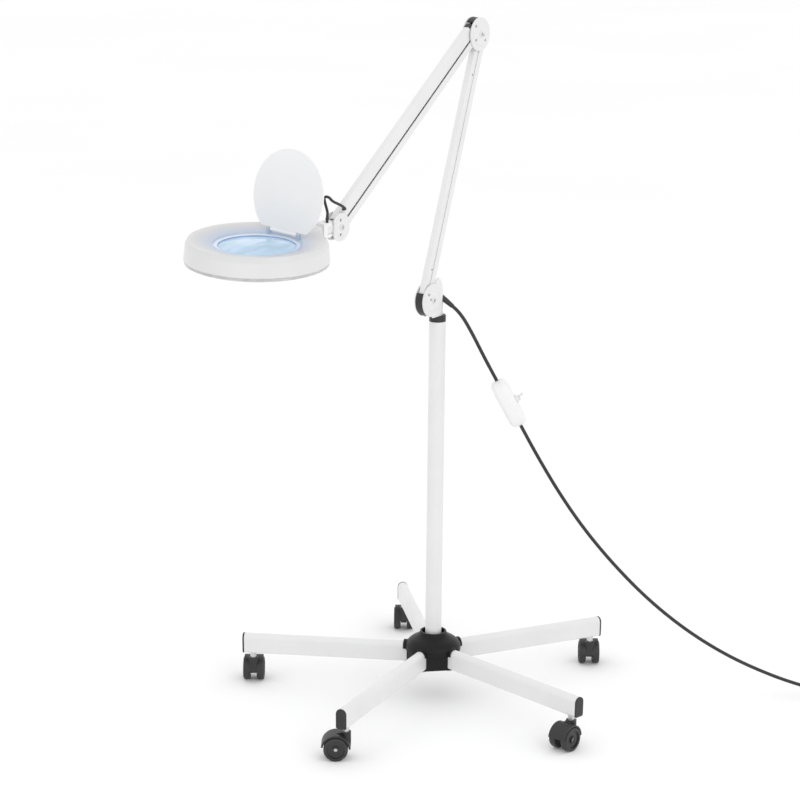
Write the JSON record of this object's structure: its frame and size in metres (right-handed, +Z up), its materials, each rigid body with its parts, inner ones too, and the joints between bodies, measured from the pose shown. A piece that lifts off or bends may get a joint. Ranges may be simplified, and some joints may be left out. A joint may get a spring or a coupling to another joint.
{
  "type": "magnifying lamp",
  "caption": "Magnifying ring lamp on a spring-balanced double parallel arm, on a post with a five-leg rolling base, with lens cover and switched mains lead.",
  "frame": {"origin": "on the floor, on the axis of the post", "axes": "+Z up along the post; both arms move in the XZ plane with the head towards -X"},
  "size_m": [1.0595, 0.9535, 1.1614],
  "materials": {
    "white_paint": "smooth semi-gloss enamel",
    "black_plastic": "fine moulded grain",
    "hub_black": "glossy moulding",
    "wheel_black": "moulded nylon",
    "steel": "zinc plated",
    "white_plastic": "smooth moulding",
    "cover_plastic": "smooth thin moulding",
    "cable_black": "satin PVC sheath",
    "plug_black": "moulded PVC",
    "lens_glass": "polished",
    "bezel_white": "smooth",
    "tube_glass": "white phosphor coated tube",
    "clear_ring": "clear prismatic moulding",
    "chrome": "bright plated"
  },
  "bodies": {
    "root": {"leg_1": "white_paint", "leg_2": "white_paint", "leg_3": "white_paint", "leg_4": "white_paint", "leg_5": "white_paint", "leg_inserts": "black_plastic", "hub_casting": "hub_black", "hub_shroud": "hub_black", "leg_bolts": "steel", "post_tube": "white_paint", "post_bush": "black_plastic"},
    "caster_1": {"caster_1_hood": "black_plastic", "caster_1_pins": "steel"},
    "wheels_1": {"caster_1_wheels": "wheel_black"},
    "caster_2": {"caster_2_hood": "black_plastic", "caster_2_pins": "steel"},
    "wheels_2": {"caster_2_wheels": "wheel_black"},
    "caster_3": {"caster_3_hood": "black_plastic", "caster_3_pins": "steel"},
    "wheels_3": {"caster_3_wheels": "wheel_black"},
    "caster_4": {"caster_4_hood": "black_plastic", "caster_4_pins": "steel"},
    "wheels_4": {"caster_4_wheels": "wheel_black"},
    "caster_5": {"caster_5_hood": "black_plastic", "caster_5_pins": "steel"},
    "wheels_5": {"caster_5_wheels": "wheel_black"},
    "arm_base": {"arm_base_bracket": "white_paint", "arm_base_guard": "black_plastic", "arm_base_pins": "steel", "lead_gland": "black_plastic", "mains_lead_upper": "cable_black", "mains_lead_lower": "cable_black", "mains_lead_coil": "cable_black", "plug": "plug_black", "switch_top": "white_plastic", "switch_bottom": "white_plastic", "toggle_bushing": "chrome"},
    "toggle": {"toggle_lever": "chrome"},
    "lower_arm": {"lower_arm_channel": "white_paint", "lower_arm_spring": "steel"},
    "lower_link": {"lower_arm_link": "white_paint"},
    "elbow": {"elbow_plates": "white_paint", "elbow_guard": "black_plastic", "elbow_pins": "steel"},
    "upper_arm": {"upper_arm_channel": "white_paint", "upper_arm_spring": "steel", "upper_arm_nose": "black_plastic", "upper_arm_flex": "cable_black"},
    "upper_link": {"upper_arm_link": "white_paint"},
    "head_bracket": {"head_bracket": "white_paint", "head_bracket_pins": "steel"},
    "neck": {"head_neck": "white_plastic", "head_flex": "cable_black"},
    "head": {"head_housing": "white_plastic", "lens": "lens_glass", "lens_bezel": "bezel_white", "ring_lamp": "tube_glass", "bottom_ring": "clear_ring", "head_pins": "steel"},
    "cover": {"lens_cover": "cover_plastic"}
  },
  "joints": [
    {"name": "caster_1_swivel", "type": "hinge", "parent": "root", "child": "caster_1", "pos_m": [0.28181, -0.14733, 0], "axis": [0, 0, 1], "continuous": true},
    {"name": "caster_1_roll", "type": "hinge", "parent": "caster_1", "child": "wheels_1", "pos_m": [0.29492, -0.13815, 0.02], "axis": [-0.5736, 0.8192, 0], "continuous": true},
    {"name": "caster_2_swivel", "type": "hinge", "parent": "root", "child": "caster_2", "pos_m": [0.2272, 0.22249, 0], "axis": [0, 0, 1], "continuous": true},
    {"name": "caster_2_roll", "type": "hinge", "parent": "caster_2", "child": "wheels_2", "pos_m": [0.24031, 0.23167, 0.02], "axis": [-0.5736, 0.8192, 0], "continuous": true},
    {"name": "caster_3_swivel", "type": "hinge", "parent": "root", "child": "caster_3", "pos_m": [-0.14139, 0.28484, 0], "axis": [0, 0, 1], "continuous": true},
    {"name": "caster_3_roll", "type": "hinge", "parent": "caster_3", "child": "wheels_3", "pos_m": [-0.12829, 0.29401, 0.02], "axis": [-0.5736, 0.8192, 0], "continuous": true},
    {"name": "caster_4_swivel", "type": "hinge", "parent": "root", "child": "caster_4", "pos_m": [-0.31459, -0.04645, 0], "axis": [0, 0, 1], "continuous": true},
    {"name": "caster_4_roll", "type": "hinge", "parent": "caster_4", "child": "wheels_4", "pos_m": [-0.32377, -0.03335, 0.02], "axis": [-0.8192, -0.5736, 0], "continuous": true},
    {"name": "caster_5_swivel", "type": "hinge", "parent": "root", "child": "caster_5", "pos_m": [-0.05303, -0.31355, 0], "axis": [0, 0, 1], "continuous": true},
    {"name": "caster_5_roll", "type": "hinge", "parent": "caster_5", "child": "wheels_5", "pos_m": [-0.06895, -0.31187, 0.02], "axis": [-0.1045, -0.9945, 0], "continuous": true},
    {"name": "arm_swivel", "type": "hinge", "parent": "root", "child": "arm_base", "pos_m": [0, 0, 0.665], "axis": [0, 0, 1], "continuous": true},
    {"name": "lower_arm_tilt", "type": "hinge", "parent": "arm_base", "child": "lower_arm", "pos_m": [-0.0406, 0, 0.7173], "axis": [0, 1, 0], "range_deg": [-16, 8]},
    {"name": "lower_link_tilt", "type": "hinge", "parent": "arm_base", "child": "lower_link", "pos_m": [-0.0356, 0, 0.70864], "axis": [0, 1, 0], "range_deg": [-17, 9]},
    {"name": "elbow_level", "type": "hinge", "parent": "lower_arm", "child": "elbow", "pos_m": [0.10772, 0, 1.13155], "axis": [0, 1, 0], "range_deg": [-9, 17]},
    {"name": "upper_arm_tilt", "type": "hinge", "parent": "elbow", "child": "upper_arm", "pos_m": [0.08642, 0, 1.14765], "axis": [0, 1, 0], "range_deg": [-8, 34]},
    {"name": "upper_link_tilt", "type": "hinge", "parent": "elbow", "child": "upper_link", "pos_m": [0.08642, 0, 1.12505], "axis": [0, 1, 0], "range_deg": [-9, 35]},
    {"name": "head_level", "type": "hinge", "parent": "upper_arm", "child": "head_bracket", "pos_m": [-0.28492, 0, 0.87785], "axis": [0, 1, 0], "range_deg": [-35, 9]},
    {"name": "neck_swivel", "type": "hinge", "parent": "head_bracket", "child": "neck", "pos_m": [-0.31092, 0, 0.86655], "axis": [-0.0478, -0.0531, 0.9974], "range_deg": [-50, 70], "deforming": ["head_flex"]},
    {"name": "head_tilt", "type": "hinge", "parent": "neck", "child": "head", "pos_m": [-0.3325, 0.00418, 0.86574], "axis": [0.1876, 0.9803, 0.0612], "range_deg": [-40, 40]},
    {"name": "cover_hinge", "type": "hinge", "parent": "head", "child": "cover", "pos_m": [-0.38682, 0.02173, 0.87073], "axis": [0.0667, 0.9962, 0.0563], "range_deg": [-99.9, 8]},
    {"name": "toggle_throw", "type": "hinge", "parent": "arm_base", "child": "toggle", "pos_m": [0.07747, -0.10941, 0.53145], "axis": [0.8161, 0.5779, 0], "range_deg": [0, 28]}
  ],
  "couplings": [
    {"joint": "lower_link_tilt", "follows": "lower_arm_tilt", "ratio": 1},
    {"joint": "elbow_level", "follows": "lower_arm_tilt", "ratio": -1},
    {"joint": "upper_link_tilt", "follows": "upper_arm_tilt", "ratio": 1},
    {"joint": "head_level", "follows": "upper_arm_tilt", "ratio": -1}
  ]
}
